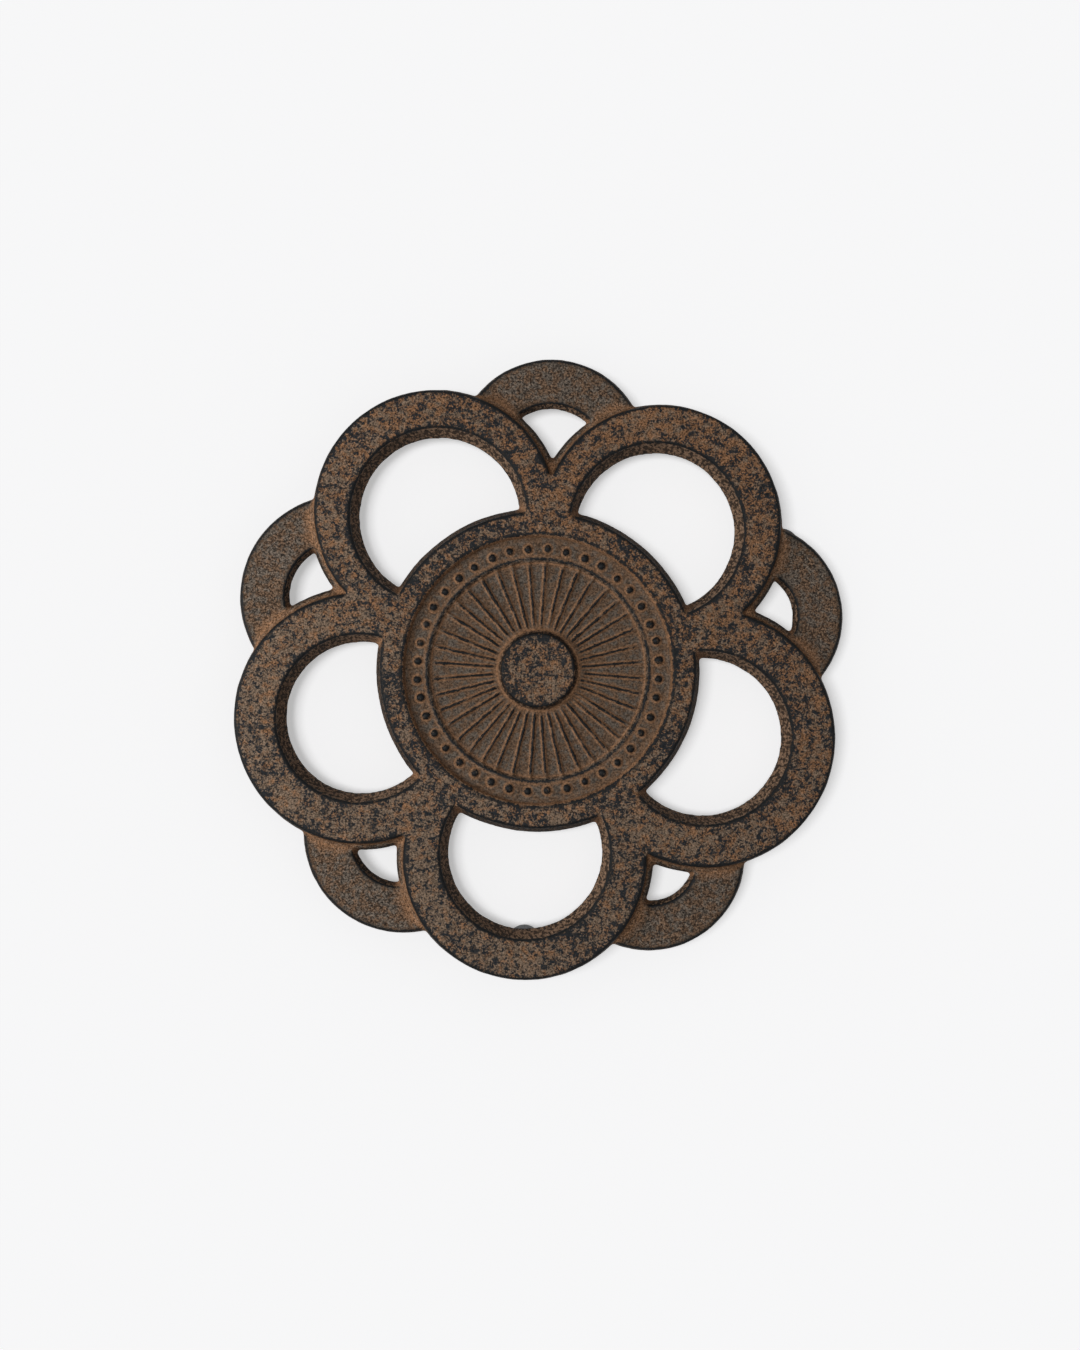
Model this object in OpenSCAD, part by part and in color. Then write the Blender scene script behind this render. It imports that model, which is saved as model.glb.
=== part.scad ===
// Openwork trivet: one flower-shaped casting with a fluted medallion, on three rubber foot caps.
// Millimetres, +Z up. The origin is on the table, under the middle of the flower.

/* [Front rings] */
// Number of front rings, and of the petals behind them
ring_count = 5; // [5:1:6]
// Distance from the middle of the trivet to the tips of the rings and of the petals
reach = 77.5; // [75.5:0.1:79.5]
// Radius of a ring round the foot of its outer wall
ring_foot_r = 31.4; // [30:0.1:33]
// How far a ring's outer wall leans in between its foot and its top
ring_draft = 1.2; // [0.6:0.1:2.4]
// How far the middle of a large opening lies inside the middle of its ring
opening_shift = 0.9; // [0:0.1:1.6]
// Radius of a large opening at the top of the casting
opening_top_r = 21.6; // [20:0.1:22.4]
// How far the wall of a large opening leans in between its top and its foot
opening_draft = 2.0; // [0.8:0.1:2.6]

/* [Back petals] */
// Radius of a petal round the foot of its outer wall
petal_foot_r = 24.2; // [23.6:0.1:25.4]
// How far a petal's outer wall leans in between its foot and its top
petal_draft = 0.8; // [0.4:0.1:1.4]
// Thickness of a petal
petal_h = 4.5; // [3.6:0.1:6]
// Width of a petal at its tip, at the foot
petal_band_w = 12.1; // [11:0.1:13.5]
// Radius of the small opening in a petal, at the foot
small_foot_r = 11.9; // [10.5:0.1:12.5]
// How far the wall of a small opening leans out between its foot and the top of its petal
small_draft = 0.9; // [0.4:0.1:1.4]
// Extra width of a ring's wall at its foot where it stands on a petal
root_w = 1.2; // [0.6:0.1:1.8]

/* [Medallion] */
// Radius of the medallion round the foot of its outer wall
disc_foot_r = 40.5; // [39.5:0.1:42]
// How far the medallion's outer wall leans in between its foot and its top
disc_draft = 1.6; // [0.6:0.1:2.2]
// Width of the flat rim round the medallion
rim_w = 5.6; // [4.4:0.1:6.4]
// Width of the channel that the beads stand in
channel_w = 4.9; // [4:0.1:5.6]
// Depth of the bead channel below the rim
channel_depth = 2; // [1.4:0.1:2.4]
// Depth of the fluted field below the bead channel
flute_depth = 1; // [0.6:0.1:1.6]
// How far each step in the medallion leans between its edge and its foot
step_draft = 0.9; // [0.5:0.1:1.2]
// Number of beads, and of the ridges that run in from them
bead_count = 40; // [30:1:44]
// Radius of a bead
bead_r = 1.1; // [0.8:0.05:1.3]
// Half the width of a ridge, and its height above the fluted field
ridge_r = 0.6; // [0.4:0.05:0.65]
// Turn of the beads and ridges against the flower, in degrees
bead_turn = -0.7; // [-4:0.1:4]
// Radius of the boss in the middle, round its foot
boss_foot_r = 10; // [9:0.1:11.5]
// How far the top of the boss lies below the rim
boss_drop = 0.2; // [0:0.1:0.8]
// Depth of the dish in the top of the boss
boss_dish = 0.4; // [0.1:0.1:0.8]

/* [Thickness] */
// Thickness of the casting
casting_h = 8; // [7:0.1:10]

/* [Feet] */
// Number of feet
foot_count = 3; // [3:1:3]
// Height of a foot cap, which is the height of the casting above the table
foot_h = 6; // [5:0.1:9]
// Radius of a foot cap
foot_r = 4.25; // [3.8:0.05:4.4]
// Radius of the rounded lower edge of a foot cap
foot_edge_r = 1.2; // [0.6:0.1:1.6]
// Distance from the tips of the rings in to the middle of each foot
foot_inset = 9; // [8.5:0.1:10]
// Turn of the feet against the flower, in degrees
foot_turn = 0.8; // [-2:0.1:2]
// Radius of the stud that a foot cap is pushed onto
stud_r = 2.4; // [2:0.05:2.7]
// Length of the stud below the casting
stud_h = 4; // [3:0.1:4.4]
// Gap between the stud and the socket of its cap, at its side and its end
stud_gap = 0.05; // [0.02:0.01:0.1]

/* [Hidden] */
$fn = 128;
SMALL_FN = 24;
// How far a cutting shape runs past the face that it cuts
overrun = 1;

iron = "#5c4a3c";
rubber = "#4c4d50";

// Heights above the table
z_foot = foot_h;
z_top = foot_h + casting_h;
z_petal = z_foot + petal_h;
z_channel = z_top - channel_depth;
z_flute = z_channel - flute_depth;
z_boss = z_top - boss_drop;

// The flower is turned so that one ring points along -Y
first_angle = -90;
ring_pitch = 360 / ring_count;

// The pattern was carved by hand, so no two rings are quite alike.
// Each ring, opening and petal has its share of the sizes above, and its turn in degrees.
ring_shares = [0.987, 1.045, 0.971, 0.979, 1.013];
opening_shares = [0.983, 1.005, 1.012, 1.022, 0.970];
shift_shares = [0.67, 2.0, 1.1, 1.0, 0.67];
ring_turns = [-0.3, -0.35, -0.65, 0.6, 0.85];
petal_shares = [0.983, 0.973, 0.975, 1.045, 1.020];
petal_turns = [-1.3, -0.1, 0.2, 1.3, 0.1];
small_shares = [0.875, 0.93, 1.11, 1.1, 0.966];

function pick(table, i) = table[i % len(table)];
function ring_r(i) = ring_foot_r * pick(ring_shares, i);
function ring_angle(i) = first_angle + i * ring_pitch + pick(ring_turns, i);
function opening_centre_r(i) = reach - ring_foot_r - opening_shift * pick(shift_shares, i);
function petal_r(i) = petal_foot_r * pick(petal_shares, i);
function petal_angle(i) = first_angle + (i + 0.5) * ring_pitch + pick(petal_turns, i);

disc_top_r = disc_foot_r - disc_draft;
rim_inner_r = disc_top_r - rim_w;
channel_outer_r = rim_inner_r - step_draft;
channel_inner_r = channel_outer_r - channel_w;
flute_outer_r = channel_inner_r - step_draft;
boss_top_r = boss_foot_r - step_draft;
bead_circle_r = (channel_outer_r + channel_inner_r) / 2;

foot_circle_r = reach - foot_inset;
first_foot_angle = first_angle + foot_turn;

// Puts its children at a distance from the middle, in the direction of an angle
module out_at(angle, radius)
    rotate([0, 0, angle])
        translate([radius, 0, 0])
            children();

// Puts its children at each of count places on a circle, the first at angle start
module around(count, radius, start)
    for (i = [0 : count - 1])
        out_at(start + i * 360 / count, radius)
            children();

// A round block with a leaning wall between the foot of the casting and a height h above it.
// It runs on past the foot, and past the top by more, along the same lean.
module drafted(h, foot, top, more = overrun) {
    lean = (top - foot) / h;
    translate([0, 0, z_foot - overrun])
        cylinder(h = h + overrun + more, r1 = foot - lean * overrun, r2 = top + lean * more);
}

module rings()
    for (i = [0 : ring_count - 1])
        out_at(ring_angle(i), reach - ring_r(i))
            drafted(casting_h, ring_r(i), ring_r(i) - ring_draft);

// The large openings stop at the outer wall of the medallion
module large_openings()
    difference() {
        for (i = [0 : ring_count - 1]) {
            top_r = opening_top_r * pick(opening_shares, i);
            out_at(ring_angle(i), opening_centre_r(i))
                drafted(casting_h, top_r - opening_draft, top_r);
        }
        drafted(casting_h, disc_foot_r, disc_top_r);
    }

// The ring walls with their wider root, which the small openings leave standing
module ring_roots()
    for (i = [0 : ring_count - 1])
        out_at(ring_angle(i), reach - ring_r(i))
            drafted(petal_h, ring_r(i) + root_w, ring_r(i) + root_w - ring_draft * petal_h / casting_h);

module petal_plates()
    for (i = [0 : ring_count - 1])
        out_at(petal_angle(i), reach - petal_r(i))
            drafted(petal_h, petal_r(i), petal_r(i) - petal_draft, 0);

module small_openings()
    difference() {
        for (i = [0 : ring_count - 1]) {
            foot = small_foot_r * pick(small_shares, i);
            out_at(petal_angle(i), reach - petal_band_w - foot)
                drafted(petal_h, foot, foot + small_draft);
        }
        ring_roots();
    }

module petals()
    difference() {
        petal_plates();
        small_openings();
    }

// What is hollowed out of the medallion: bead channel, fluted field and the space round the boss
module medallion_hollow()
    rotate_extrude()
        polygon([
            [0, z_boss - boss_dish],
            [boss_top_r, z_boss],
            [boss_foot_r, z_flute],
            [flute_outer_r, z_flute],
            [channel_inner_r, z_channel],
            [channel_outer_r, z_channel],
            [rim_inner_r, z_top],
            [rim_inner_r, z_top + overrun],
            [0, z_top + overrun]
        ]);

module beads()
    around(bead_count, bead_circle_r, bead_turn)
        translate([0, 0, z_channel])
            sphere(r = bead_r, $fn = SMALL_FN);

// Each ridge is half a round bar lying in the floor of the fluted field
module ridges() {
    ridge_start = boss_foot_r - step_draft / 2;
    ridge_end = flute_outer_r + step_draft / 2;
    around(bead_count, ridge_start, bead_turn)
        translate([0, 0, z_flute])
            rotate([0, 90, 0])
                cylinder(h = ridge_end - ridge_start, r = ridge_r, $fn = SMALL_FN);
}

module studs()
    around(foot_count, foot_circle_r, first_foot_angle)
        translate([0, 0, z_foot - stud_h])
            cylinder(h = stud_h + overrun, r = stud_r);

// The layer of space between the flat underside and the flat top of the casting
module casting_layer()
    translate([0, 0, z_foot])
        cylinder(h = casting_h, r = reach + overrun);

module casting()
    color(iron) {
        difference() {
            intersection() {
                union() {
                    rings();
                    petals();
                    drafted(casting_h, disc_foot_r, disc_top_r);
                }
                casting_layer();
            }
            large_openings();
            medallion_hollow();
        }
        beads();
        ridges();
        studs();
    }

// A rubber cap with a blind socket, closed and rounded at the table
module foot_cap(i) {
    socket_top = z_foot + overrun;
    socket_floor = z_foot - stud_h - stud_gap;
    color(rubber)
        rotate([0, 0, first_foot_angle + i * 360 / foot_count])
            translate([foot_circle_r, 0, 0])
                difference() {
                    rotate_extrude() {
                        translate([0, foot_edge_r])
                            square([foot_r, foot_h - foot_edge_r]);
                        square([foot_r - foot_edge_r, foot_h]);
                        intersection() {
                            translate([foot_r - foot_edge_r, foot_edge_r])
                                circle(r = foot_edge_r);
                            square([foot_r, foot_h]);
                        }
                    }
                    translate([0, 0, socket_floor])
                        cylinder(h = socket_top - socket_floor, r = stud_r + stud_gap);
                }
}

casting();
foot_cap(0);  // foot_cap_1
foot_cap(1);  // foot_cap_2
foot_cap(2);  // foot_cap_3
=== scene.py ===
import math
import random

import bmesh
import bpy
import numpy as np
from bpy.props import FloatProperty, FloatVectorProperty, IntProperty, PointerProperty
from mathutils import Matrix, Vector, noise


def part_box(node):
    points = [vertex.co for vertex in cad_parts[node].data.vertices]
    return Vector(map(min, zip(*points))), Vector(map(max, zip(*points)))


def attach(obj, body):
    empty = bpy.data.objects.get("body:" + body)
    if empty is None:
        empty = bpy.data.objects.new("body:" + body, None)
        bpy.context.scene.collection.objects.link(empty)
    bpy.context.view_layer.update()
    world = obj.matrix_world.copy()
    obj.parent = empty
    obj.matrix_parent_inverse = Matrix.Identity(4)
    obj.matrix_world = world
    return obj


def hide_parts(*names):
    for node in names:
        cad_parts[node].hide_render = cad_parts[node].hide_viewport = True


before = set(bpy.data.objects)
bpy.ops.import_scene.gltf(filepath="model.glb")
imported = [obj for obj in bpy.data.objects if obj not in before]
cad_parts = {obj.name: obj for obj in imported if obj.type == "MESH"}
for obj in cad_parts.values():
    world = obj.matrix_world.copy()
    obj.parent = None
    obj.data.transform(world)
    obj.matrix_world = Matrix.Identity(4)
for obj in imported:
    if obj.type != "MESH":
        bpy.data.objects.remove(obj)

bl_info = {
    "name": "Openwork Trivet",
    "version": (1, 0, 0),
    "blender": (4, 5, 0),
    "location": "3D View > Sidebar > Trivet",
    "description": "Builds a rusty cast iron flower trivet with a fluted medallion on rubber feet",
    "category": "Add Mesh",
}

MM = 0.001
RING_COUNT = 5
FIRST_ANGLE = math.radians(-90)
RING_PITCH = math.tau / RING_COUNT
MIDDLE = Vector((0, 0, 0))

# How far a cutting shape runs past the face that it cuts, and further where nothing stands beyond
OVERRUN = 1 * MM
FAR_OVERRUN = 2 * MM
# How far every point of the iron stays inside the CAD box
HAIR = 0.01 * MM
# The most triangles that the flower keeps
FLOWER_TRIANGLES = 196000

# The pattern was carved by hand, so each ring and petal has its share of the sizes and its turn
RING_SHARES = [0.987, 1.045, 0.971, 0.979, 1.013]
OPENING_SHARES = [0.983, 1.005, 1.012, 1.022, 0.970]
SHIFT_SHARES = [0.67, 2.0, 1.1, 1.0, 0.67]
RING_TURNS = [-0.3, -0.35, -0.65, 0.6, 0.85]
PETAL_SHARES = [0.983, 0.973, 0.975, 1.045, 1.020]
PETAL_TURNS = [-1.3, -0.1, 0.2, 1.3, 0.1]
SMALL_SHARES = [0.875, 0.93, 1.11, 1.1, 0.966]

# Waves of the sand-cast skin: their size and lift in millimetres, and where their noise is read
SKIN_WAVES = [
    (9, 0.09, Vector((0, 0, 0))),
    (2.6, 0.055, Vector((7, 3, 1))),
    (0.95, 0.035, Vector((2, 9, 4))),
]
# Bends, in 1/m, over which an edge goes from sound to worn and a hollow from dusty to orange
WORN_BEND = (60, 220)
HOLLOW_BEND = (25, 130)
WIDE_HOLLOW_BEND = (4, 34)
# Rows of neighbours that the margin beside an edge and the wide orange of a hollow reach over
MARGIN_ROWS = 14
WIDE_HOLLOW_ROWS = 24
# The least margin on and under the medallion, whose colours are darker all over
MEDALLION_MARGIN = 0.5
# Distances from the wall of an opening up to which a face is its wall in full, and at all
BORE_REACH = (1.3 * MM, 2.0 * MM)

CASTING_LOW, CASTING_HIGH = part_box("casting")
CAP_NODES = ["foot_cap_1", "foot_cap_2", "foot_cap_3"]


def length(name, about, millimetres):
    """A size that a user can change, kept in metres."""
    return FloatProperty(
        name=name, description=about, default=millimetres * MM, min=0, unit="LENGTH", precision=5)


def colour(name, about, value):
    """A colour that a user can change."""
    return FloatVectorProperty(
        name=name, description=about, default=value, size=3, min=0, max=1, subtype="COLOR")


class TrivetFlowerSizes(bpy.types.PropertyGroup):
    """Sizes of the rings, petals and openings"""
    z_foot: length("Underside", "Height of the casting's underside above the table", 6)
    z_top: length("Top", "Height of the casting's top above the table", 14)
    reach: length("Reach", "Distance from the middle to the tips of the rings", 77.5)
    ring_foot_r: length("Ring radius", "Radius of a ring round its foot", 31.4)
    ring_draft: length("Ring draft", "How far a ring's outer wall leans in", 1.2)
    opening_shift: length("Opening shift", "How far a large opening lies inside its ring", 0.9)
    opening_top_r: length("Opening radius", "Radius of a large opening at the top", 21.6)
    opening_draft: length("Opening draft", "How far a large opening's wall leans in", 2.0)
    petal_foot_r: length("Petal radius", "Radius of a petal round its foot", 24.2)
    petal_draft: length("Petal draft", "How far a petal's outer wall leans in", 0.8)
    petal_h: length("Petal thickness", "Thickness of a petal", 4.5)
    petal_band_w: length("Petal band", "Width of a petal at its tip", 12.1)
    small_foot_r: length("Small opening", "Radius of a small opening at its foot", 11.9)
    small_draft: length("Small draft", "How far a small opening's wall leans out", 0.9)
    root_w: length("Root", "Extra width of a ring's wall where it stands on a petal", 1.2)
    fillet_w: length("Fillet", "Width of the fillet between a ring and a petal", 1.3)
    ring_swell: length("Ring swell", "Extra radius of a ring that the smoothing takes back", 0.1)
    petal_swell: length("Petal swell", "Extra radius of a petal that the smoothing takes back", 0.3)
    opening_swell: length(
        "Opening swell", "Radius held back in an opening that the smoothing takes", 0.18)
    voxel: length("Grain size", "Mesh size that the flower is cast at", 0.36)


class TrivetMedallionSizes(bpy.types.PropertyGroup):
    """Sizes of the medallion"""
    disc_foot_r: length("Radius", "Radius of the medallion round its foot", 40.5)
    disc_draft: length("Draft", "How far the medallion's wall leans in", 1.6)
    rim_inner_r: length("Rim inner edge", "Radius of the inner edge of the rim", 33.3)
    pocket_r: length("Pocket", "Radius of the pocket under the medallion", 34.5)
    flange_r: length("Flange", "Radius out to which the medallion covers the rim", 36.4)
    channel_depth: length("Channel depth", "Depth of the bead channel", 2)
    channel_w: length("Channel width", "Width of the bead channel", 4.9)
    flute_depth: length("Flute depth", "Depth of the fluted field below the channel", 1)
    step_draft: length("Step draft", "How far each step leans", 0.9)
    bead_r: length("Bead radius", "Radius of a bead", 1.1)
    ridge_h: length("Ridge height", "Height of a ridge", 0.6)
    boss_foot_r: length("Boss radius", "Radius of the boss round its foot", 10)
    boss_drop: length("Boss drop", "How far the boss lies below the rim", 0.2)
    boss_dish: length("Boss dish", "Depth of the dish in the boss", 0.4)
    bead_count: IntProperty(name="Beads", description="Number of beads and of ridges", default=40, min=3)
    bead_turn: FloatProperty(
        name="Bead turn", description="Turn of the beads against the flower",
        default=math.radians(-0.7), subtype="ANGLE")


class TrivetCapSizes(bpy.types.PropertyGroup):
    """Sizes of the foot caps"""
    radius: length("Radius", "Radius of a foot cap", 4.25)
    height: length("Height", "Height of a foot cap", 6)
    edge_r: length("Edge", "Radius of the rounded lower edge", 1.2)
    socket_r: length("Socket", "Radius of the socket for the stud", 2.45)
    socket_h: length("Socket depth", "Depth of the socket for the stud", 4.05)
    stud_r: length("Stud", "Radius of the stud under the casting", 2.4)
    stud_h: length("Stud length", "Length of the stud under the casting", 4)


class TrivetFinish(bpy.types.PropertyGroup):
    """Colours of the rust finish and the rubber"""
    rust: colour("Rust", "Orange rust on the raised faces", (0.174, 0.090, 0.046))
    # Old rust, and also the painted sheen: the finish puts more of it at the front left, where the light
    # falls
    stale_rust_and_sheen: colour("Old rust", "Grey-brown rust on the raised faces", (0.136, 0.096, 0.067))
    iron: colour("Iron", "Blue-black patches on the raised faces", (0.0100, 0.0116, 0.0136))
    dust: colour("Dust", "Grey-brown of the sunken faces", (0.126, 0.101, 0.080))
    loam: colour("Loam", "Brown of the sunken faces", (0.143, 0.089, 0.056))
    # The orange is partly a painted highlight: it is brightened for the ridge flanks and the rim line of
    # the medallion
    ember_and_highlight: colour("Orange", "Orange-brown of the hollows and roots", (0.212, 0.111, 0.057))
    wall: colour("Wall", "Brown of the opening walls", (0.134, 0.083, 0.052))
    worn: colour("Worn edge", "Black of the worn edges and beads", (0.004, 0.0045, 0.005))
    rubber: colour("Rubber", "Grey of the foot caps", (0.080, 0.082, 0.086))


class TrivetStudio(bpy.types.PropertyGroup):
    """Sizes and light of the studio"""
    camera_height: length("Camera height", "Height of the camera above the table", 534)
    field_h: length("Field", "Height of the picture at the top of the casting", 332.5)
    turn: FloatProperty(
        name="Turn", description="Turn of the camera about the upright",
        default=math.radians(3.72), subtype="ANGLE")
    key_power: FloatProperty(name="Key light", description="Strength of the low lamp", default=1.9)
    crown_power: FloatProperty(name="Crown light", description="Strength of the high lamp", default=1.5)
    sky: FloatProperty(name="Sky", description="Brightness of the light from all round", default=0.15)
    backdrop: FloatProperty(name="Backdrop", description="Brightness of the backdrop", default=0.93)
    glow: FloatProperty(
        name="Floor glow", description="Brightness that only the camera sees on the floor",
        default=0.409)


def linked(name, mesh):
    """A new object at the origin that shows a mesh."""
    obj = bpy.data.objects.new(name, mesh)
    bpy.context.scene.collection.objects.link(obj)
    return obj


def from_bmesh(name, bm):
    """A new object at the origin with what the bmesh holds."""
    mesh = bpy.data.meshes.new(name)
    bm.to_mesh(mesh)
    bm.free()
    return linked(name, mesh)


def discard(*objects):
    """Takes helper objects and their meshes out of the file."""
    for obj in objects:
        mesh = obj.data
        bpy.data.objects.remove(obj)
        bpy.data.meshes.remove(mesh)


def bake(obj):
    """Applies an object's modifiers to its mesh."""
    graph = bpy.context.evaluated_depsgraph_get()
    mesh = bpy.data.meshes.new_from_object(obj.evaluated_get(graph))
    old = obj.data
    obj.modifiers.clear()
    obj.data = mesh
    bpy.data.meshes.remove(old)
    return obj


def carve(obj, cutter, operation="DIFFERENCE"):
    """Cuts one closed shape with another."""
    cut = obj.modifiers.new("carve", "BOOLEAN")
    cut.operation = operation
    cut.object = cutter
    cut.solver = "EXACT"
    return bake(obj)


def join(name, objects):
    """One object with the meshes of several."""
    bm = bmesh.new()
    for obj in objects:
        bm.from_mesh(obj.data)
    discard(*objects)
    return from_bmesh(name, bm)


def spot(angle, radius):
    """The point at a distance from the middle in the direction of an angle."""
    return Vector((math.cos(angle) * radius, math.sin(angle) * radius, 0))


def cap_spot(name):
    """The middle of a foot cap, from its CAD box."""
    low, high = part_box(name)
    return Vector(((low[0] + high[0]) / 2, (low[1] + high[1]) / 2, 0))


def ring_angle(i):
    """The direction of a ring from the middle."""
    return FIRST_ANGLE + i * RING_PITCH + math.radians(RING_TURNS[i])


def opening_reach(s, i):
    """Distance from the middle to a large opening."""
    return s.reach - s.ring_foot_r - s.opening_shift * SHIFT_SHARES[i]


def petal_angle(i):
    """The direction of a petal from the middle."""
    return FIRST_ANGLE + (i + 0.5) * RING_PITCH + math.radians(PETAL_TURNS[i])


def ring_place(s, i):
    """The middle of a ring, and its radius round its foot."""
    radius = s.ring_foot_r * RING_SHARES[i]
    return spot(ring_angle(i), s.reach - radius), radius


def petal_place(s, i):
    """The middle of a petal, and its radius round its foot."""
    radius = s.petal_foot_r * PETAL_SHARES[i]
    return spot(petal_angle(i), s.reach - radius), radius


def block(name, centre, z_low, z_high, r_low, r_high, below=0, above=0, segments=256):
    """A closed round block with a leaning wall. It can run on past its ends along the same lean."""
    lean = (r_high - r_low) / (z_high - z_low)
    bm = bmesh.new()
    bmesh.ops.create_cone(
        bm, cap_ends=True, cap_tris=False, segments=segments,
        radius1=r_low - lean * below, radius2=r_high + lean * above,
        depth=z_high - z_low + below + above,
        matrix=Matrix.Translation(centre + Vector((0, 0, (z_low - below + z_high + above) / 2))))
    bmesh.ops.recalc_face_normals(bm, faces=bm.faces)
    return from_bmesh(name, bm)


def skin(point):
    """How far the sand mould leaves the iron proud at a point, in metres."""
    return MM * sum(
        noise.noise(point / (size * MM) + shift) * lift for size, lift, shift in SKIN_WAVES)



def edge_pairs(mesh):
    """The two vertex numbers of each edge of a mesh."""
    pairs = np.empty(len(mesh.edges) * 2, np.int32)
    mesh.edges.foreach_get("vertices", pairs)
    return pairs[0::2], pairs[1::2]


def neighbour_mean(values, first, second):
    """The mean of each vertex's neighbours."""
    count = len(values)
    total = np.bincount(first, values[second], count) + np.bincount(second, values[first], count)
    share = np.bincount(first, minlength=count) + np.bincount(second, minlength=count)
    return total / np.maximum(share, 1)


def spread(values, first, second, passes):
    """Values softened over a few rows of neighbours."""
    for _ in range(passes):
        values = 0.5 * values + 0.5 * neighbour_mean(values, first, second)
    return values


def vertex_array(mesh, field):
    """A field of all vertices as rows of three numbers."""
    numbers = np.empty(len(mesh.vertices) * 3)
    getattr(mesh, field).foreach_get("co" if field == "vertices" else "vector", numbers)
    return numbers.reshape(-1, 3)


def write_mask(mesh, name, values):
    """Keeps one number for each vertex, which the finish reads by name."""
    layer = mesh.attributes.get(name) or mesh.attributes.new(name, "FLOAT", "POINT")
    layer.data.foreach_set("value", np.clip(values, 0, 1).astype(np.float32))


def ramp(values, low, high):
    """0 up to low, 1 from high on, and a smooth rise between."""
    t = np.clip((values - low) / (high - low), 0, 1)
    return t * t * (3 - 2 * t)


def mask_edges(mesh, s, m):
    """Marks the worn outer edges, the margins beside them, the hollows and the opening walls."""
    first, second = edge_pairs(mesh)
    place = vertex_array(mesh, "vertices")
    normal = vertex_array(mesh, "vertex_normals")
    middle = np.stack([neighbour_mean(place[:, k], first, second) for k in range(3)], 1)
    step = np.mean(np.linalg.norm(place[first] - place[second], axis=1))
    bend = np.sum((place - middle) * normal, 1) / step ** 2
    bend = spread(bend, first, second, 2)

    # The medallion covers the edge of the pocket, so that edge does not show as worn
    radius = np.hypot(place[:, 0], place[:, 1])
    crest = ramp(bend, *WORN_BEND)
    crest[(radius < m.flange_r + 0.4 * MM) & (place[:, 2] > s.z_top - 1.5 * MM)] = 0
    write_mask(mesh, "crest", crest)
    margin = ramp(spread(crest, first, second, MARGIN_ROWS), 0.03, 0.4)
    write_mask(mesh, "margin", np.maximum(margin, MEDALLION_MARGIN * (radius < m.disc_foot_r)))
    near = ramp(spread(-bend, first, second, 3), *HOLLOW_BEND)
    wide = ramp(spread(-bend, first, second, WIDE_HOLLOW_ROWS), *WIDE_HOLLOW_BEND)
    write_mask(mesh, "root", np.maximum(near, 0.6 * wide))

    walls = []
    for i in range(RING_COUNT):
        large_r = s.opening_top_r * OPENING_SHARES[i] - s.opening_draft / 2
        walls.append((spot(ring_angle(i), opening_reach(s, i)), large_r))
        small_r = s.small_foot_r * SMALL_SHARES[i]
        walls.append((spot(petal_angle(i), s.reach - s.petal_band_w - small_r), small_r))
    away = [abs(np.hypot(place[:, 0] - axis.x, place[:, 1] - axis.y) - r) for axis, r in walls]
    write_mask(mesh, "bore", 1 - ramp(np.min(away, 0), *BORE_REACH))



def press_skin(mesh, ceiling):
    """Roughens a mesh as the sand mould does, less on its underside, and keeps it inside the CAD box."""
    normals = [Vector(n.vector) for n in mesh.vertex_normals]
    low, high = [v + HAIR for v in CASTING_LOW], [v - HAIR for v in CASTING_HIGH]
    for vertex, normal in zip(mesh.vertices, normals):
        share = 0.3 if normal.z < -0.7 else 1.0
        vertex.co += normal * skin(vertex.co) * share
        vertex.co.x = min(max(vertex.co.x, low[0]), high[0])
        vertex.co.y = min(max(vertex.co.y, low[1]), high[1])
        vertex.co.z = min(vertex.co.z, ceiling)
    mesh.update()


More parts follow.
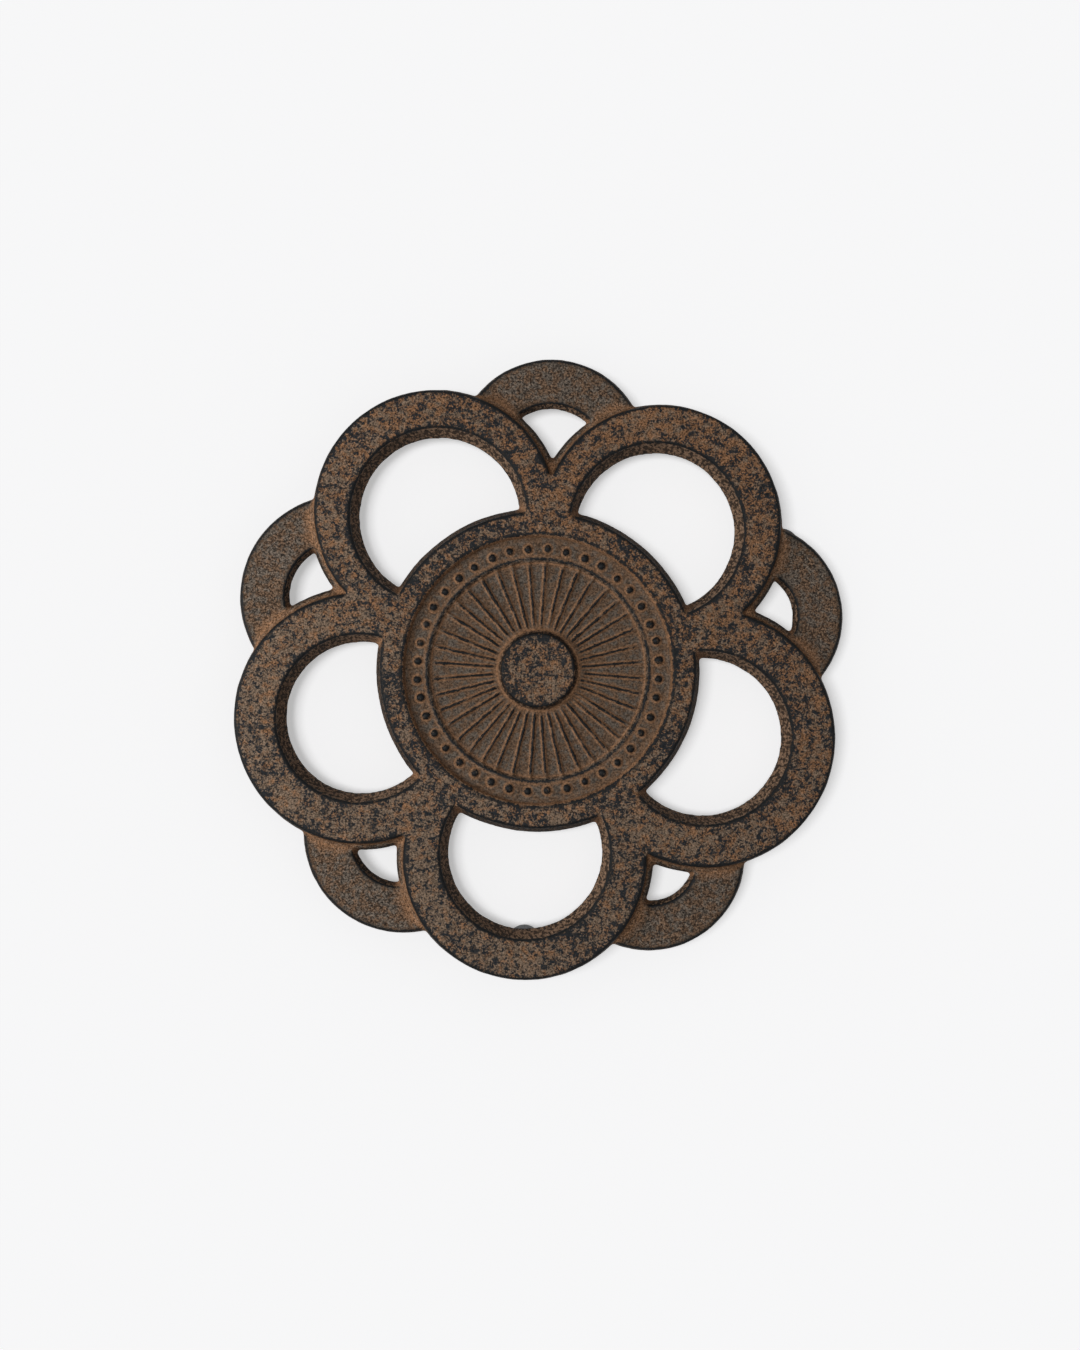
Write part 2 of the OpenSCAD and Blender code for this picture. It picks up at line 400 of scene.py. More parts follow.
class TRIVET_OT_openwork(bpy.types.Operator):
    """Add the flower of rings and petals"""
    bl_idname = "trivet.openwork"
    bl_label = "Add Openwork"

    def execute(self, context):
        s = context.scene.trivet_flower
        m = context.scene.trivet_medallion
        c = context.scene.trivet_caps
        z_face = s.z_top - 0.06 * MM
        large = self.large_cutter(s, m)
        small = self.small_cutter(s)
        bodies = []
        for i in range(RING_COUNT):
            bodies += self.ring_and_petal(s, i, z_face, large, small)
            bodies += self.fillets(s, i, large, small)
        disc_lean = m.disc_draft * (z_face - s.z_foot) / (s.z_top - s.z_foot)
        bodies.append(block(
            "hub", MIDDLE, s.z_foot, z_face, m.disc_foot_r, m.disc_foot_r - disc_lean))

        # The medallion is set into a pocket in the hub
        pocket = block(
            "pocket", MIDDLE, s.z_foot + 2.7 * MM, s.z_top + OVERRUN, m.pocket_r, m.pocket_r)
        bodies = [carve(body, pocket) for body in bodies]
        stud_r = c.stud_r - 0.05 * MM
        for name in CAP_NODES:
            bodies.append(block(
                "stud", cap_spot(name), s.z_foot - c.stud_h, s.z_foot + OVERRUN, stud_r, stud_r,
                segments=48))
        discard(large, small, pocket)

        piece = join("iron_openwork", bodies)
        self.cast(piece, s)
        mask_edges(piece.data, s, m)
        press_skin(piece.data, s.z_top - HAIR)
        triangles = sum(len(face.vertices) - 2 for face in piece.data.polygons)
        thin = piece.modifiers.new("thin", "DECIMATE")
        thin.ratio = min(1, FLOWER_TRIANGLES / triangles)
        bake(piece)
        finish_piece(piece, rust_finish(), ["casting"])
        return {"FINISHED"}

    def large_cutter(self, s, m):
        """The shapes that cut the large openings, which stop at the medallion's wall."""
        disc = block(
            "disc", MIDDLE, s.z_foot, s.z_top, m.disc_foot_r, m.disc_foot_r - m.disc_draft,
            FAR_OVERRUN, FAR_OVERRUN)
        cutters = []
        for i in range(RING_COUNT):
            top_r = s.opening_top_r * OPENING_SHARES[i] - s.opening_swell
            opening = block(
                "opening", spot(ring_angle(i), opening_reach(s, i)), s.z_foot, s.z_top,
                top_r - s.opening_draft, top_r, OVERRUN, OVERRUN)
            cutters.append(carve(opening, disc))
        discard(disc)
        return join("large_openings", cutters)

    def small_cutter(self, s):
        """The shapes that cut the small openings, which leave the roots of the ring walls standing."""
        roots = []
        for i in range(RING_COUNT):
            centre, radius = ring_place(s, i)
            roots.append(block(
                "root", centre, s.z_foot, s.z_top, radius + s.root_w,
                radius + s.root_w - s.ring_draft, FAR_OVERRUN, FAR_OVERRUN))
        cutters = []
        for i in range(RING_COUNT):
            foot = s.small_foot_r * SMALL_SHARES[i]
            cut_r = foot - s.opening_swell
            opening = block(
                "small", spot(petal_angle(i), s.reach - s.petal_band_w - foot),
                s.z_foot, s.z_foot + s.petal_h, cut_r, cut_r + s.small_draft, OVERRUN, 3 * MM)
            for root in (roots[i], roots[(i + 1) % RING_COUNT]):
                carve(opening, root)
            cutters.append(opening)
        discard(*roots)
        return join("small_openings", cutters)

    def ring_and_petal(self, s, i, z_face, large, small):
        """One ring and the petal after it, with their openings cut out."""
        centre, radius = ring_place(s, i)
        cast_r = radius + s.ring_swell
        lean = s.ring_draft * (z_face - s.z_foot) / (s.z_top - s.z_foot)
        ring = block("ring", centre, s.z_foot, z_face, cast_r, cast_r - lean)
        carve(ring, large)
        centre, radius = petal_place(s, i)
        cast_r = radius + s.petal_swell
        plate = block(
            "plate", centre, s.z_foot, s.z_foot + s.petal_h, cast_r, cast_r - s.petal_draft)
        carve(plate, large)
        carve(plate, small)
        return [ring, plate]

    def fillets(self, s, i, large, small):
        """The fillets round a ring where it stands on the two petals beside it."""
        z_petal = s.z_foot + s.petal_h
        centre, radius = ring_place(s, i)
        wall_r = radius - s.ring_draft * s.petal_h / (s.z_top - s.z_foot)
        made = []
        for k in (i, (i - 1) % RING_COUNT):
            petal_spot, petal_r = petal_place(s, k)
            cover = block(
                "cover", petal_spot, s.z_foot, z_petal + 3 * MM,
                petal_r - 0.9 * MM, petal_r - 2.6 * MM)
            fillet = block(
                "fillet", centre, z_petal - 0.3 * MM, z_petal + s.fillet_w,
                wall_r + s.fillet_w + 0.2 * MM, wall_r - 0.5 * MM)
            carve(fillet, cover, "INTERSECT")
            carve(fillet, large)
            made.append(carve(fillet, small))
            discard(cover)
        return made

    def cast(self, piece, s):
        """Fuses the bodies into one skin and softens its edges."""
        fuse = piece.modifiers.new("fuse", "REMESH")
        fuse.mode = "VOXEL"
        fuse.voxel_size = s.voxel * 1
        bake(piece)
        soften = piece.modifiers.new("soften", "SMOOTH")
        soften.factor = 0.5
        soften.iterations = 8
        bake(piece)


def medallion_steps(m, f):
    """Heights of the channel and the fluted field, and radii of the steps from the boss out."""
    z_channel = f.z_top - m.channel_depth
    z_flute = z_channel - m.flute_depth
    boss_top_r = m.boss_foot_r - m.step_draft
    wall_r = m.rim_inner_r - m.step_draft
    lip_r = wall_r - m.channel_w
    return z_channel, z_flute, boss_top_r, lip_r - m.step_draft, lip_r, wall_r


def medallion_profile(m, f):
    """Radius and height of the medallion's face from the middle out, then back under it."""
    z_rim = f.z_top
    z_boss = z_rim - m.boss_drop
    z_under = f.z_foot + 3 * MM
    hidden_r = m.pocket_r - 0.3 * MM
    z_channel, z_flute, boss_top_r, flute_r, lip_r, wall_r = medallion_steps(m, f)

    # Each corner has its radius and height, then the count and bow of the points on to the next
    corners = [
        (0, z_boss - m.boss_dish, 22, 2.0),
        (boss_top_r - 0.5 * MM, z_boss - 0.02 * MM, 3, 1.8),
        (boss_top_r - 0.05 * MM, z_boss - 0.2 * MM, 5, 1.0),
        (m.boss_foot_r - 0.25 * MM, z_flute + 0.5 * MM, 4, 0.55),
        (m.boss_foot_r + 0.45 * MM, z_flute, 26, 1.0),
        (flute_r - 0.35 * MM, z_flute, 3, 1.8),
        (flute_r + 0.2 * MM, z_flute + 0.35 * MM, 3, 1.0),
        (lip_r - 0.35 * MM, z_channel, 3, 0.6),
        (lip_r, z_channel + 0.13 * MM, 4, 1.6),
        (lip_r + 0.7 * MM, z_channel, 16, 1.0),
        (wall_r - 0.7 * MM, z_channel, 6, 2.0),
        (wall_r + 0.4 * MM, z_channel + 0.6 * MM, 5, 1.0),
        (m.rim_inner_r - 0.1 * MM, z_rim - 0.36 * MM, 4, 0.5),
        (m.rim_inner_r + 0.4 * MM, z_rim - 0.03 * MM, 7, 1.0),
        (m.flange_r - 0.04 * MM, z_rim - 0.045 * MM, 1, 1.0),
        (m.flange_r - 0.02 * MM, z_rim - 0.045 * MM, 1, 1.0),
        (m.flange_r, z_rim - 0.1 * MM, 1, 1.0),
        (m.flange_r, z_rim - 0.3 * MM, 1, 1.0),
        (hidden_r, z_rim - 0.35 * MM, 1, 1.0),
        (hidden_r, z_under, 1, 1.0),
        (0, z_under, 1, 1.0),
    ]
    points = []
    for (r0, z0, count, bow), (r1, z1, _, _) in zip(corners, corners[1:]):
        for k in range(count):
            points.append((r0 + (r1 - r0) * k / count, z0 + (z1 - z0) * (k / count) ** bow))
    points.append(corners[-1][:2])
    return points



class TRIVET_OT_medallion(bpy.types.Operator):
    """Add the medallion with its boss, ridges and beads"""
    bl_idname = "trivet.medallion"
    bl_label = "Add Medallion"

    def execute(self, context):
        f = context.scene.trivet_flower
        m = context.scene.trivet_medallion
        steps = 800
        bm = bmesh.new()
        corners = [bm.verts.new((r, 0, z)) for r, z in medallion_profile(m, f)]
        edges = [bm.edges.new(pair) for pair in zip(corners, corners[1:])]

        # One eighth is spun and then doubled three times, which is far quicker than a full spin
        bmesh.ops.spin(
            bm, geom=corners + edges, cent=(0, 0, 0), axis=(0, 0, 1), dvec=(0, 0, 0),
            angle=math.tau / 8, steps=steps // 8, use_merge=False, use_duplicate=False)
        for turn in (math.tau / 8, math.tau / 4, math.tau / 2):
            made = bmesh.ops.duplicate(bm, geom=bm.verts[:] + bm.edges[:] + bm.faces[:])["geom"]
            bmesh.ops.rotate(
                bm, verts=[v for v in made if isinstance(v, bmesh.types.BMVert)], cent=(0, 0, 0),
                matrix=Matrix.Rotation(turn, 3, "Z"))
        bmesh.ops.remove_doubles(bm, verts=bm.verts, dist=0.001 * MM)
        bmesh.ops.recalc_face_normals(bm, faces=bm.faces)
        piece = from_bmesh("iron_medallion", bm)
        carve_medallion(piece.data, m, f)
        finish_piece(piece, rust_finish(), ["casting"])
        return {"FINISHED"}


def smooth(t):
    """0 below 0, 1 above 1, and a smooth rise between."""
    t = min(max(t, 0.0), 1.0)
    return t * t * (3 - 2 * t)


def band(away, width):
    """1 where away is 0, and a soft fall to nothing past the width."""
    return math.exp(-(away / width) ** 2)


def on_ridge(ray, r, off, wander, ragged, m, flute_r):
    """The rise, worn line and orange flank, partly rust and partly a painted highlight, that a ridge
    gives a point at radius r and angle off.
    """
    along = Vector((r / (2.2 * MM), ray["phase"], 0))
    d = r * math.sin(off - ray["turn"]) + noise.noise(along) * 0.09 * MM
    t = (r - m.boss_foot_r) / (flute_r - m.boss_foot_r)
    width = (0.32 + 0.18 * t) * MM
    inner = smooth((r - ray["start"]) / (0.9 * MM))
    ends = inner * smooth((ray["end"] - r) / (1.3 * MM))
    tall = ray["height"] * (0.72 + 0.28 * min(max(t, 0), 1)) * (0.92 + 0.16 * wander)
    whole = smooth(0.5 + 1.1 * noise.noise(along * 0.8 + Vector((0, 0, 9))) + 0.45)
    line = 1.4 * math.exp(-(d / (0.28 * MM)) ** 2 * (1 + 0.8 * ragged))
    # Orange beside the crest: rust, and partly a painted highlight of the lit flank
    flank_rust_and_highlight = band(abs(d) - 0.45 * MM, 0.25 * MM)
    rise = tall * (0.15 + 0.85 * inner) * band(d, width)
    return rise, line * ends * whole, flank_rust_and_highlight * (0.4 + 0.6 * ends)


def on_bead(bead, r, off, ragged):
    """The rise, worn top and rusty foot that a bead gives a point at radius r and angle off."""
    there = off - bead["turn"]
    dx = r * math.sin(there)
    dy = r * math.cos(there) - bead["circle"]
    d = math.hypot(dx * 1.06, dy) / bead["radius"]
    dome = math.sqrt(max(0.0, 1 - d * d)) * bead["high"] if d < 1 else -(d - 1) * 2.5
    blend_w = 0.22
    top = 0.5 * (dome + math.sqrt(dome * dome + blend_w * blend_w))
    rise = (top - 0.02) * bead["radius"] if d < 1.8 else 0
    return rise, smooth((0.98 + 0.16 * ragged - d) / 0.16), band(d - 1.22, 0.3)


def carve_medallion(mesh, m, f):
    """Raises the ridges and beads, roughens the face and marks the worn edges and the roots."""
    draw = random.Random(40)
    pitch = math.tau / m.bead_count
    _, z_flute, boss_top_r, flute_r, lip_r, wall_r = medallion_steps(m, f)
    bead_circle = (wall_r + lip_r) / 2
    rays, beads = [], []
    for k in range(m.bead_count):
        rays.append({
            "turn": draw.uniform(-0.07, 0.07) * pitch,
            "start": m.boss_foot_r + draw.uniform(0.4, 1.1) * MM,
            "end": flute_r - draw.uniform(-0.2, 0.9) * MM,
            "height": m.ridge_h * draw.uniform(1.2, 1.5),
            "phase": draw.uniform(0, 100)})
        beads.append({
            "turn": draw.uniform(-0.06, 0.06) * pitch,
            "circle": bead_circle + draw.uniform(-0.18, 0.18) * MM,
            "radius": m.bead_r * draw.uniform(0.86, 1.02),
            "high": draw.uniform(0.8, 0.98)})

    place = vertex_array(mesh, "vertices")
    crest, root, margin, rise = np.zeros((4, len(place)))
    radius = np.hypot(place[:, 0], place[:, 1])
    angle = np.arctan2(place[:, 1], place[:, 0]) - m.bead_turn
    number = np.round(angle / pitch).astype(int)
    upper = np.nonzero(place[:, 2] > z_flute - 0.1 * MM)[0]
    for i in upper:
        r = radius[i]
        k = number[i] % m.bead_count
        off = angle[i] - number[i] * pitch
        spot_at = Vector(place[i])
        wander = noise.noise(spot_at / (3.1 * MM))
        ragged = noise.noise(spot_at / (0.55 * MM) + Vector((5, 1, 8)))
        marks = []
        if boss_top_r + 0.7 * MM < r < flute_r + 0.4 * MM:
            marks.append(on_ridge(rays[k], r, off, wander, ragged, m, flute_r))
        if abs(r - bead_circle) < 2.6 * MM:
            marks.append(on_bead(beads[k], r, off, ragged))
        for lift, worn, rusty in marks:
            rise[i] += lift
            crest[i] = max(crest[i], worn)
            root[i] = max(root[i], rusty)

        # Worn edges run round the boss, the lip of the channel and the rim, and rust between them; the
        # orange line high on the rim's wall is partly a painted highlight
        rough = (0.3 * ragged + 0.12 * wander) * MM
        crest[i] = max(
            crest[i],
            0.95 * band(r - boss_top_r + 0.15 * MM + 2.2 * rough, 0.55 * MM),
            1.15 * band(r - lip_r + rough, 0.35 * MM) * smooth(0.95 + 0.8 * wander),
            0.95 * band(r - m.rim_inner_r - 0.5 * MM + rough, 0.46 * MM))
        root[i] = max(
            root[i],
            band(r - m.boss_foot_r - 0.15 * MM, 0.4 * MM),
            band(r - flute_r + 0.1 * MM, 0.26 * MM),
            band(r - lip_r - 0.75 * MM, 0.35 * MM) * 0.6,
            0.15 * smooth((r - wall_r + 1.2 * MM) / (0.7 * MM)) * (r < m.rim_inner_r),
            # Orange line high on the rim's wall: rust, and partly a painted highlight where the wall
            # catches the light
            band(r - m.rim_inner_r + 0.2 * MM, 0.32 * MM))
        margin[i] = max(
            1.3 * band(r - boss_top_r, 2.2 * MM),
            0.9 * band(r - m.rim_inner_r - 0.3 * MM, 1.4 * MM),
            MEDALLION_MARGIN)

    place[:, 2] += rise
    mesh.vertices.foreach_set("co", place.ravel())
    mesh.update()
    sunken = ramp(m.rim_inner_r - radius, 0, 0.5 * MM) * ramp(radius - boss_top_r, 0, 0.5 * MM)
    write_mask(mesh, "crest", crest)
    write_mask(mesh, "root", root)
    write_mask(mesh, "margin", margin)
    write_mask(mesh, "bore", np.ones(len(place)))
    write_mask(mesh, "calm", sunken)
    normals = [Vector(n.vector) for n in mesh.vertex_normals]
    for i in upper:
        vertex = mesh.vertices[i]
        vertex.co += normals[i] * skin(vertex.co)
        vertex.co.z = min(vertex.co.z, f.z_top - HAIR)
    mesh.update()



def finish_piece(piece, material, nodes):
    """Gives a piece its material and smooth shading, hangs it on the root body and hides the CAD nodes
    that go with it.
    """
    piece.data.materials.clear()
    piece.data.materials.append(material)
    for face in piece.data.polygons:
        face.use_smooth = True
    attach(piece, "root")
    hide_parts(*nodes)


class TRIVET_OT_foot_caps(bpy.types.Operator):
    """Add the three rubber caps under the casting"""
    bl_idname = "trivet.foot_caps"
    bl_label = "Add Foot Caps"

    def execute(self, context):
        c = context.scene.trivet_caps
        for name in CAP_NODES:
            piece = self.cap(c, "rubber_" + name, cap_spot(name))
            finish_piece(piece, rubber_finish(), [name])
        return {"FINISHED"}

    def cap(self, c, name, centre):
        """One cap, spun from its outline, with a blind socket."""
        outline = [(0, 0), (c.radius, 0), (c.radius, c.height), (c.socket_r, c.height),
                   (c.socket_r, c.height - c.socket_h), (0, c.height - c.socket_h)]
        bm = bmesh.new()
        corners = [bm.verts.new((r, 0, z)) for r, z in outline]
        edges = [bm.edges.new(pair) for pair in zip(corners, corners[1:])]
        bmesh.ops.spin(
            bm, geom=corners + edges, cent=(0, 0, 0), axis=(0, 0, 1), dvec=(0, 0, 0),
            angle=math.tau, steps=96, use_merge=True, use_duplicate=False)
        bmesh.ops.remove_doubles(bm, verts=bm.verts, dist=0.001 * MM)
        bmesh.ops.recalc_face_normals(bm, faces=bm.faces)
        rims = {(c.radius, 0): (c.edge_r, 8), (c.radius, c.height): (0.25 * MM, 3)}
        for (r, z), (width, segments) in rims.items():
            ring = [e for e in bm.edges if all(
                abs(v.co.z - z) < 0.01 * MM and abs(math.hypot(v.co.x, v.co.y) - r) < 0.01 * MM
                for v in e.verts)]
            bmesh.ops.bevel(
                bm, geom=ring, offset=width, offset_type="OFFSET", affect="EDGES",
                segments=segments, profile=0.5, material=-1, clamp_overlap=True)
        bmesh.ops.translate(bm, verts=bm.verts, vec=centre)
        return from_bmesh(name, bm)


def node(tree, kind, **values):
    """A new shader node with some of its fields and inputs set."""
    made = tree.nodes.new(kind)
    for key, value in values.items():
        if key in made.inputs:
            made.inputs[key].default_value = value
        else:
            setattr(made, key, value)
    return made


def math_node(tree, operation, first, second=None, clamp=False):
    """One sum of two numbers or sockets."""
    made = tree.nodes.new("ShaderNodeMath")
    made.operation = operation
    made.use_clamp = clamp
    for socket, value in zip(made.inputs, (first, second)):
        if isinstance(value, bpy.types.NodeSocket):
            tree.links.new(value, socket)
        elif value is not None:
            socket.default_value = value
    return made.outputs[0]


def plus(tree, first, second, share=1.0, clamp=False):
    """One number or socket, with a share of another on top of it."""
    if share != 1.0:
        second = math_node(tree, "MULTIPLY", second, share)
    return math_node(tree, "ADD", first, second, clamp)


def blend_colour(tree, share, first, second, mode="MIX"):
    """One colour mixed over another by a share."""
    made = tree.nodes.new("ShaderNodeMix")
    made.data_type = "RGBA"
    made.blend_type = mode
    for socket, value in ((made.inputs[0], share), (made.inputs[6], first), (made.inputs[7], second)):
        if isinstance(value, bpy.types.NodeSocket):
            tree.links.new(value, socket)
        elif isinstance(value, float):
            socket.default_value = value
        else:
            socket.default_value = (*value, 1)
    return made.outputs[2]


def grain_noise(tree, place, size, detail=2.0, roughness=0.5, shift=0.0, upright=1.0):
    """Noise whose patches are about size metres across, and taller where upright is below 1."""
    move = node(tree, "ShaderNodeMapping", Scale=(1, 1, upright))
    move.inputs["Location"].default_value = (shift, shift * 0.7, shift * 1.3)
    tree.links.new(place, move.inputs["Vector"])
    made = node(tree, "ShaderNodeTexNoise", Scale=1 / size, Detail=detail, Roughness=roughness)
    tree.links.new(move.outputs[0], made.inputs["Vector"])
    return made.outputs["Fac"]


def step_up(tree, value, low, high, bottom=0.0, top=1.0, rise="SMOOTHSTEP"):
    """The number bottom up to low, top from high on, and a rise between."""
    made = node(tree, "ShaderNodeMapRange", interpolation_type=rise, **{
        "From Min": low, "From Max": high, "To Min": bottom, "To Max": top})
    tree.links.new(value, made.inputs["Value"])
    return made.outputs["Result"]



def mask(tree, name):
    """A number that the piece's vertices carry."""
    return node(tree, "ShaderNodeAttribute", attribute_name=name).outputs["Fac"]


def new_material(name):
    """A new material with its nodes and its shader."""
    material = bpy.data.materials.new(name)
    material.use_nodes = True
    tree = material.node_tree
    return material, tree, tree.nodes["Principled BSDF"]


def rust_finish():
    """Sponged rust over blue-black iron on the raised faces, dust and orange rust in the hollows. The
    orange is partly a painted highlight on the medallion, and a painted sheen greys the rust at the
    front left.
    """
    if "rust_finish" in bpy.data.materials:
        return bpy.data.materials["rust_finish"]
    tone = bpy.context.scene.trivet_finish
    z_top = bpy.context.scene.trivet_flower.z_top
    material, tree, shader = new_material("rust_finish")
    place = node(tree, "ShaderNodeTexCoord").outputs["Object"]
    parts = node(tree, "ShaderNodeSeparateXYZ")
    tree.links.new(place, parts.inputs[0])
    crest, root = mask(tree, "crest"), mask(tree, "root")
    margin, bore, calm = mask(tree, "margin"), mask(tree, "bore"), mask(tree, "calm")

    coarse = grain_noise(tree, place, 1.6 * MM, 4.0, 0.7)
    broad = grain_noise(tree, place, 14 * MM, 2.0, 0.5, 0.3)
    fine = grain_noise(tree, place, 0.58 * MM, 3.0, 0.7, 0.1)
    sand = grain_noise(tree, place, 0.42 * MM, 2.0, 0.75, 0.2)
    streak = grain_noise(tree, place, 0.72 * MM, 1.0, 0.5, 0.4, 0.4)
    tint = grain_noise(tree, place, 1.8 * MM, 3.0, 0.65, 0.7)

    # Raised faces: rust is sponged on in patches, and bare iron shows between, more so at margins
    raised = step_up(tree, parts.outputs["Z"], z_top - 1.0 * MM, z_top - 0.65 * MM)
    patch = plus(tree, math_node(tree, "MULTIPLY", coarse, 0.54), fine, 0.46)
    patch = plus(tree, patch, math_node(tree, "SUBTRACT", broad, 0.5), 0.14)
    patch = plus(tree, patch, margin, -0.035)
    rusty = step_up(tree, patch, 0.445, 0.515)

    # The rust turns from grey-brown at the front left of the trivet to orange at its back right: a
    # random tint, and over it a painted sheen that greys the rust at the front left, where the light
    # falls
    warmth_and_painted_light = plus(tree, tint, parts.outputs["X"], 0.5)
    warmth_and_painted_light = step_up(tree, plus(tree, warmth_and_painted_light, parts.outputs["Y"], 0.9), 0.40, 0.64)
    mottle = blend_colour(tree, rusty, tone.iron, blend_colour(tree, warmth_and_painted_light, tone.stale_rust_and_sheen, tone.rust))

    # Sunken faces: brown dust with dark pits, darker at margins
    dusty = blend_colour(tree, step_up(tree, tint, 0.42, 0.58), tone.dust, tone.loam)
    pits = plus(tree, step_up(tree, fine, 0.4, 0.56, 0.25, 1.0), margin, 0.5, clamp=True)
    for shade in (pits, plus(tree, 1.0, margin, -0.5)):
        dusty = blend_colour(tree, 1.0, dusty, shade, "MULTIPLY")
    base = blend_colour(tree, raised, dusty, mottle)

    # Steep faces: streaky brown in the openings, and darker on the outer walls
    normal = node(tree, "ShaderNodeSeparateXYZ")
    tree.links.new(node(tree, "ShaderNodeNewGeometry").outputs["Normal"], normal.inputs[0])
    steep = step_up(tree, math_node(tree, "ABSOLUTE", normal.outputs["Z"]), 0.75, 0.35)
    wall = blend_colour(tree, bore, [v * 0.35 for v in tone.wall], tone.wall)
    speckle = step_up(tree, streak, 0.45, 0.55, 0.2, 1.4)
    wall = blend_colour(tree, 1.0, wall, speckle, "MULTIPLY")
    base = blend_colour(tree, steep, base, wall)

    # Orange rust lies in the hollows, and on the medallion's ridge flanks and rim line its bright orange
    # is partly a painted highlight; the edges are worn raggedly down to black iron
    base = blend_colour(tree, math_node(tree, "MULTIPLY", root, 0.9), base, tone.ember_and_highlight)
    beside = math_node(tree, "SUBTRACT", margin, MEDALLION_MARGIN)
    beside = math_node(tree, "MAXIMUM", beside, 0.0)
    edge = plus(tree, math_node(tree, "MULTIPLY", crest, 0.9), beside, 0.1)
    edge = plus(tree, edge, math_node(tree, "SUBTRACT", patch, 0.47), -3.4)
    edge = plus(tree, edge, math_node(tree, "SUBTRACT", sand, 0.5), 2.4)
    edge = step_up(tree, edge, 0.42, 0.58)
    base = blend_colour(tree, edge, base, tone.worn)

    # Fine grit lightens and darkens every tone, a little less in the sunken faces of the medallion
    grit = step_up(tree, sand, 0.34, 0.66, 0.15, 1.85, "LINEAR")
    keen = plus(tree, 1.0, calm, -0.34)
    base = blend_colour(tree, keen, base, blend_colour(tree, 1.0, base, grit, "MULTIPLY"))
    tree.links.new(base, shader.inputs["Base Color"])

    dark = math_node(tree, "MULTIPLY", math_node(tree, "SUBTRACT", 1.0, rusty), raised)
    gloss = math_node(tree, "MAXIMUM", math_node(tree, "MULTIPLY", dark, 0.6), edge)
    tree.links.new(plus(tree, 0.88, gloss, -0.38), shader.inputs["Roughness"])
    shader.inputs["Specular IOR Level"].default_value = 0.1

    relief = plus(tree, math_node(tree, "MULTIPLY", sand, 0.8), fine, 0.8)
    relief = plus(tree, relief, dark, 0.35)
    bump = node(tree, "ShaderNodeBump", Distance=0.10 * MM)
    tree.links.new(relief, bump.inputs["Height"])
    tree.links.new(keen, bump.inputs["Strength"])
    tree.links.new(bump.outputs[0], shader.inputs["Normal"])
    return material



def rubber_finish():
    """Plain dark grey rubber with a faint bloom."""
    if "rubber_finish" in bpy.data.materials:
        return bpy.data.materials["rubber_finish"]
    tone = bpy.context.scene.trivet_finish
    material, tree, shader = new_material("rubber_finish")
    place = node(tree, "ShaderNodeTexCoord").outputs["Object"]
    bloom = grain_noise(tree, place, 1.6 * MM, 3.0, 0.6)
    pores = grain_noise(tree, place, 0.25 * MM, 1.0, 0.5)
    shade = blend_colour(tree, bloom, [v * 0.8 for v in tone.rubber], [v * 1.2 for v in tone.rubber])
    tree.links.new(shade, shader.inputs["Base Color"])
    tree.links.new(plus(tree, 0.6, bloom, 0.2), shader.inputs["Roughness"])
    bump = node(tree, "ShaderNodeBump", Strength=0.6, Distance=0.02 * MM)
    tree.links.new(pores, bump.inputs["Height"])
    tree.links.new(bump.outputs[0], shader.inputs["Normal"])
    return material


def seen_rays(tree):
    """1 for what the camera, mirrors and glass see, and 0 for light that falls on the object."""
    path = node(tree, "ShaderNodeLightPath")
    seen = plus(tree, path.outputs["Is Camera Ray"], path.outputs["Is Glossy Ray"])
    return plus(tree, seen, path.outputs["Is Transmission Ray"], clamp=True)



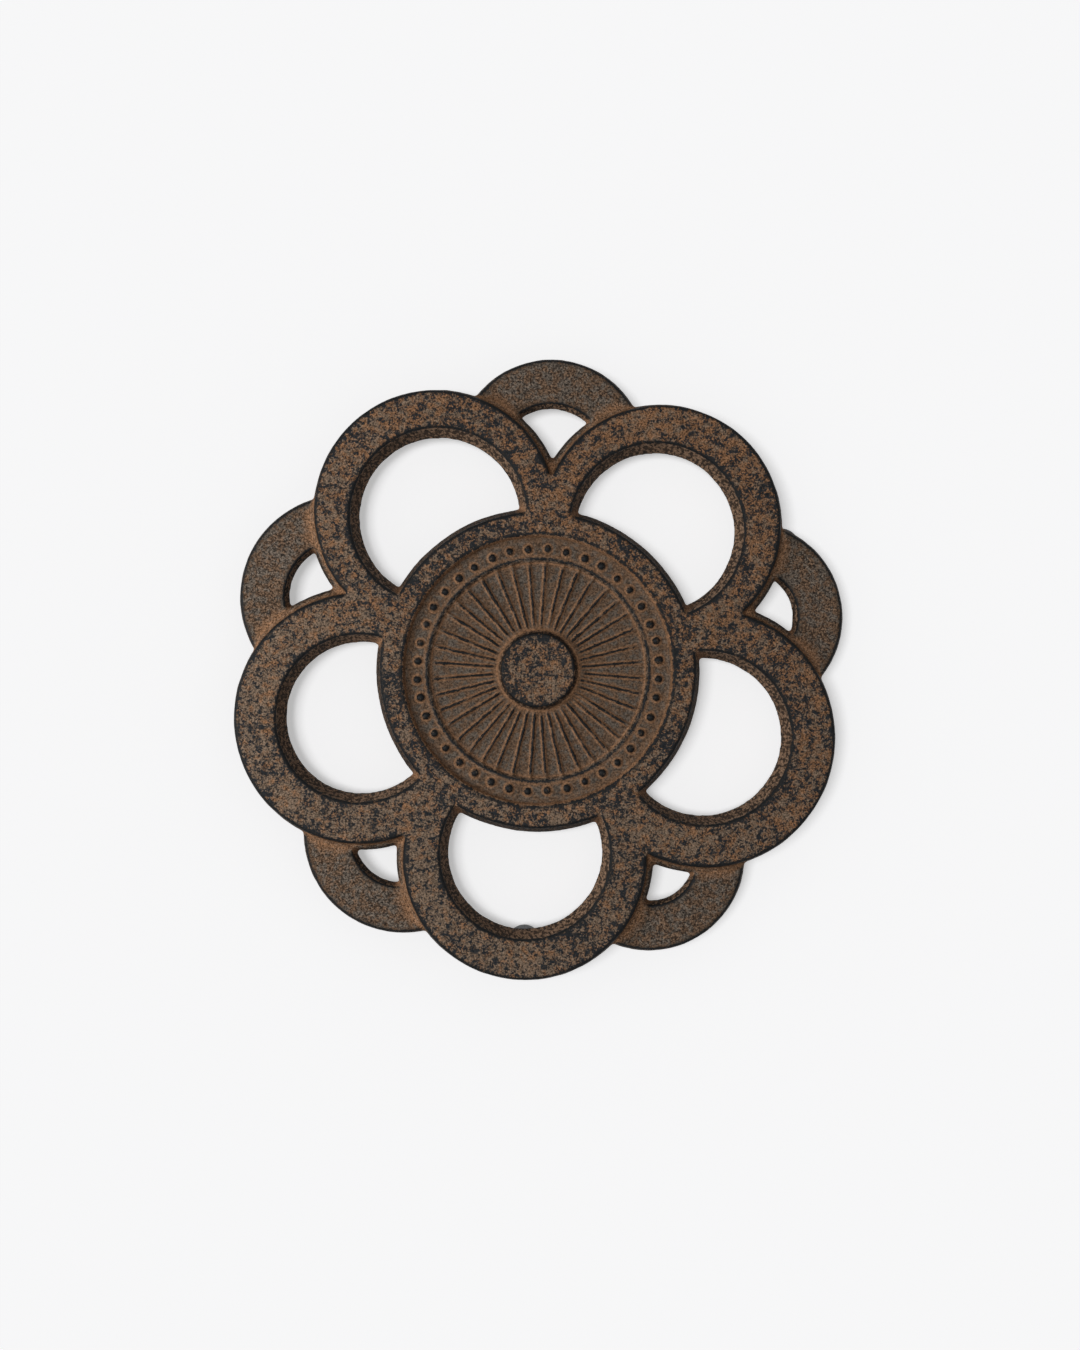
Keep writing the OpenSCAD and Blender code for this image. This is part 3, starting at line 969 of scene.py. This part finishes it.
class TRIVET_OT_stage(bpy.types.Operator):
    """Add the floor, the light and the camera"""
    bl_idname = "trivet.stage"
    bl_label = "Add Stage"

    def execute(self, context):
        s = context.scene.trivet_studio
        f = context.scene.trivet_flower
        scene = context.scene
        scene.view_settings.view_transform = "Standard"
        floor = self.floor(s)
        self.world(s)
        key = self.lamp(s, "key", s.key_power, spread=18, side=182, tilt=36, away=340 * MM)
        self.lamp(s, "crown", s.crown_power, spread=20, side=180, tilt=76)

        # The low lamp leaves out the floor, so that the floor's shadow is short
        left_out = bpy.data.collections.new("left_out")
        left_out.objects.link(floor)
        left_out.collection_objects[0].light_linking.link_state = "EXCLUDE"
        key.light_linking.receiver_collection = left_out
        self.camera(s, f)
        return {"FINISHED"}

    def floor(self, s):
        """The paper under the trivet. The camera, mirrors and glass see an even glow on it."""
        bm = bmesh.new()
        bmesh.ops.create_grid(bm, x_segments=1, y_segments=1, size=6)
        floor = from_bmesh("floor", bm)
        material, tree, shader = new_material("paper_floor")
        tree.nodes.remove(shader)
        paper = node(tree, "ShaderNodeBsdfDiffuse", Color=(0.85, 0.85, 0.86, 1))
        glow = node(tree, "ShaderNodeEmission", Color=(1, 1, 1, 1))
        strength = math_node(tree, "MULTIPLY", seen_rays(tree), s.glow)
        tree.links.new(strength, glow.inputs["Strength"])
        both = node(tree, "ShaderNodeAddShader")
        tree.links.new(paper.outputs[0], both.inputs[0])
        tree.links.new(glow.outputs[0], both.inputs[1])
        tree.links.new(both.outputs[0], tree.nodes["Material Output"].inputs["Surface"])
        floor.data.materials.append(material)
        return floor

    def world(self, s):
        """Faint light from all round, behind a backdrop that the camera, mirrors and glass see."""
        world = bpy.data.worlds.new("studio")
        bpy.context.scene.world = world
        world.use_nodes = True
        tree = world.node_tree
        level = plus(tree, s.sky, seen_rays(tree), s.backdrop - s.sky)
        tree.links.new(level, tree.nodes["Background"].inputs["Strength"])
        tree.nodes["Background"].inputs["Color"].default_value = (1, 1, 1, 1)

    def lamp(self, s, name, power, spread, side, tilt, away=0):
        """One soft lamp, far off or a distance away, at the angles side and tilt from the middle."""
        data = bpy.data.lights.new(name, "POINT" if away else "SUN")
        if away:
            data.shadow_soft_size = away * math.tan(math.radians(spread) / 2)
            data.energy = power * 4 * math.pi * away ** 2
        else:
            data.angle = math.radians(spread)
            data.energy = power
        lamp = bpy.data.objects.new(name, data)
        bpy.context.scene.collection.objects.link(lamp)
        turn, tilt = math.radians(side) + s.turn, math.radians(tilt)
        level = math.cos(tilt)
        toward = Vector((level * math.cos(turn), level * math.sin(turn), math.sin(tilt)))
        lamp.location = toward * (away or 1)
        lamp.rotation_euler = (-toward).to_track_quat("-Z", "Y").to_euler()
        return lamp

    def camera(self, s, f):
        """The camera straight above the trivet, a little aside of its middle."""
        data = bpy.data.cameras.new("camera")
        data.sensor_fit = "VERTICAL"
        data.sensor_height = 36
        data.lens = data.sensor_height * (s.camera_height - f.z_top) / s.field_h
        data.clip_start = 0.01
        camera = bpy.data.objects.new("camera", data)
        bpy.context.scene.collection.objects.link(camera)
        aside = Matrix.Rotation(s.turn, 3, "Z") @ Vector((0.5 * MM, -1.2 * MM, 0))
        camera.location = (aside.x, aside.y, s.camera_height)
        camera.rotation_euler = (0, 0, s.turn)
        bpy.context.scene.camera = camera


class TRIVET_PT_panel(bpy.types.Panel):
    """Lists the pieces of the trivet"""
    bl_idname = "TRIVET_PT_panel"
    bl_label = "Openwork Trivet"
    bl_space_type = "VIEW_3D"
    bl_region_type = "UI"
    bl_category = "Trivet"

    def draw(self, context):
        for name, groups in STEPS:
            self.layout.operator(name)
            for group in groups:
                sizes = getattr(context.scene, group)
                box = self.layout.box()
                for key in sizes.__annotations__:
                    box.prop(sizes, key)


GROUPS = {
    "trivet_flower": TrivetFlowerSizes,
    "trivet_medallion": TrivetMedallionSizes,
    "trivet_caps": TrivetCapSizes,
    "trivet_finish": TrivetFinish,
    "trivet_studio": TrivetStudio,
}
STEPS = [
    ("trivet.openwork", ["trivet_flower", "trivet_finish"]),
    ("trivet.medallion", ["trivet_medallion"]),
    ("trivet.foot_caps", ["trivet_caps"]),
    ("trivet.stage", ["trivet_studio"]),
]
CLASSES = [
    *GROUPS.values(), TRIVET_OT_openwork, TRIVET_OT_medallion, TRIVET_OT_foot_caps, TRIVET_OT_stage,
    TRIVET_PT_panel]


def register():
    for cls in CLASSES:
        bpy.utils.register_class(cls)
    for name, group in GROUPS.items():
        setattr(bpy.types.Scene, name, PointerProperty(type=group))


def unregister():
    for name in GROUPS:
        delattr(bpy.types.Scene, name)
    for cls in reversed(CLASSES):
        bpy.utils.unregister_class(cls)


def main():
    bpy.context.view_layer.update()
    register()
    bpy.ops.trivet.openwork()
    bpy.ops.trivet.medallion()
    bpy.ops.trivet.foot_caps()
    bpy.ops.trivet.stage()


if __name__ == "__main__":
    main()
